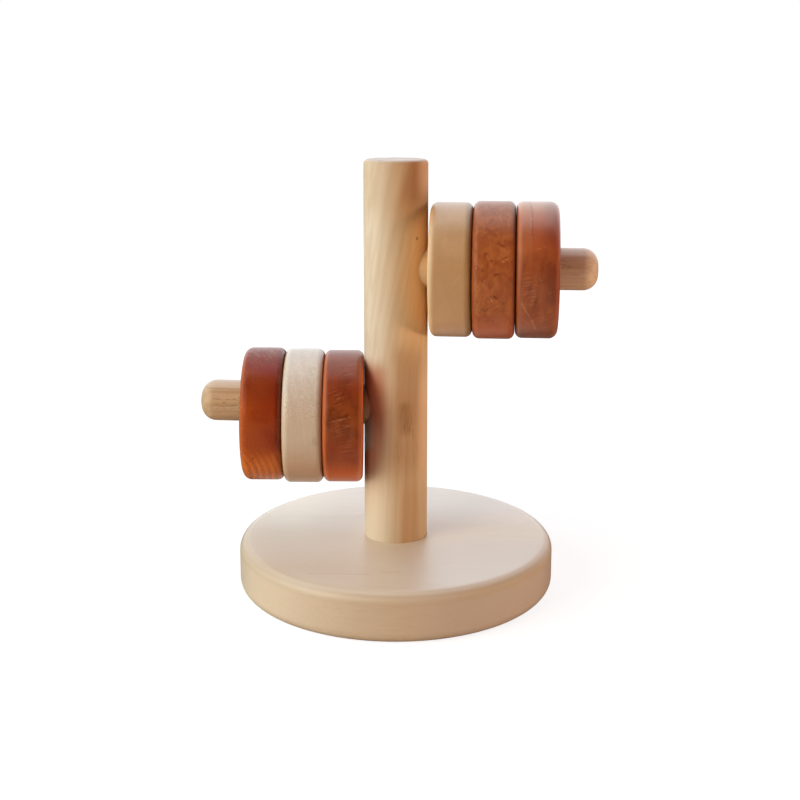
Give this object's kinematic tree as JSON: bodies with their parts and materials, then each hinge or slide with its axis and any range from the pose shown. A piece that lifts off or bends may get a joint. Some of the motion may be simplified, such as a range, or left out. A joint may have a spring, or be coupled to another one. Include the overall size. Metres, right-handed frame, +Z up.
{
  "type": "wooden stacking toy",
  "caption": "Free-standing wooden stacking toy: a round base and an upright post with two level pegs at different heights, each holding thick wooden rings that pull off.",
  "frame": {"origin": "centre of the base's flat underside, on the post's axis", "axes": "+Z up along the post, +X along the higher peg, -X along the lower peg, and -Y towards the side seen in the picture"},
  "size_m": [0.1868, 0.15, 0.203],
  "materials": {
    "base_maple": "sanded and oiled, fine straight grain",
    "post_birch": "sanded and oiled, grain along the post",
    "screw_steel": "zinc-plated",
    "left_peg_wood": "sanded and oiled, grain along the peg",
    "right_peg_wood": "sanded and oiled, grain along the peg",
    "left_inner_wood": "oiled brown-red hardwood",
    "left_middle_wood": "oiled pale hardwood",
    "left_outer_wood": "oiled red-brown hardwood",
    "right_inner_wood": "oiled pale yellow hardwood",
    "right_middle_wood": "oiled orange-brown hardwood with a curly figure",
    "right_outer_wood": "oiled reddish-brown hardwood"
  },
  "bodies": {
    "stand": {"base": "base_maple", "post": "post_birch", "base_screw": "screw_steel", "left_peg": "left_peg_wood", "right_peg": "right_peg_wood"},
    "left_inner_ring": {"left_inner_ring": "left_inner_wood"},
    "left_middle_ring": {"left_middle_ring": "left_middle_wood"},
    "left_outer_ring": {"left_outer_ring": "left_outer_wood"},
    "right_inner_ring": {"right_inner_ring": "right_inner_wood"},
    "right_middle_ring": {"right_middle_ring": "right_middle_wood"},
    "right_outer_ring": {"right_outer_ring": "right_outer_wood"}
  },
  "joints": [
    {"name": "left_inner_slide", "type": "slide", "parent": "stand", "child": "left_inner_ring", "axis": [-1, 0, 0], "range_m": [0, 0.084]},
    {"name": "left_middle_slide", "type": "slide", "parent": "left_inner_ring", "child": "left_middle_ring", "axis": [-1, 0, 0], "range_m": [0, 0.064]},
    {"name": "left_outer_slide", "type": "slide", "parent": "left_middle_ring", "child": "left_outer_ring", "axis": [-1, 0, 0], "range_m": [0, 0.045]},
    {"name": "right_inner_slide", "type": "slide", "parent": "stand", "child": "right_inner_ring", "axis": [1, 0, 0], "range_m": [-0.001, 0.082]},
    {"name": "right_middle_slide", "type": "slide", "parent": "right_inner_ring", "child": "right_middle_ring", "axis": [1, 0, 0], "range_m": [0, 0.063]},
    {"name": "right_outer_slide", "type": "slide", "parent": "right_middle_ring", "child": "right_outer_ring", "axis": [1, 0, 0], "range_m": [0, 0.043]}
  ]
}
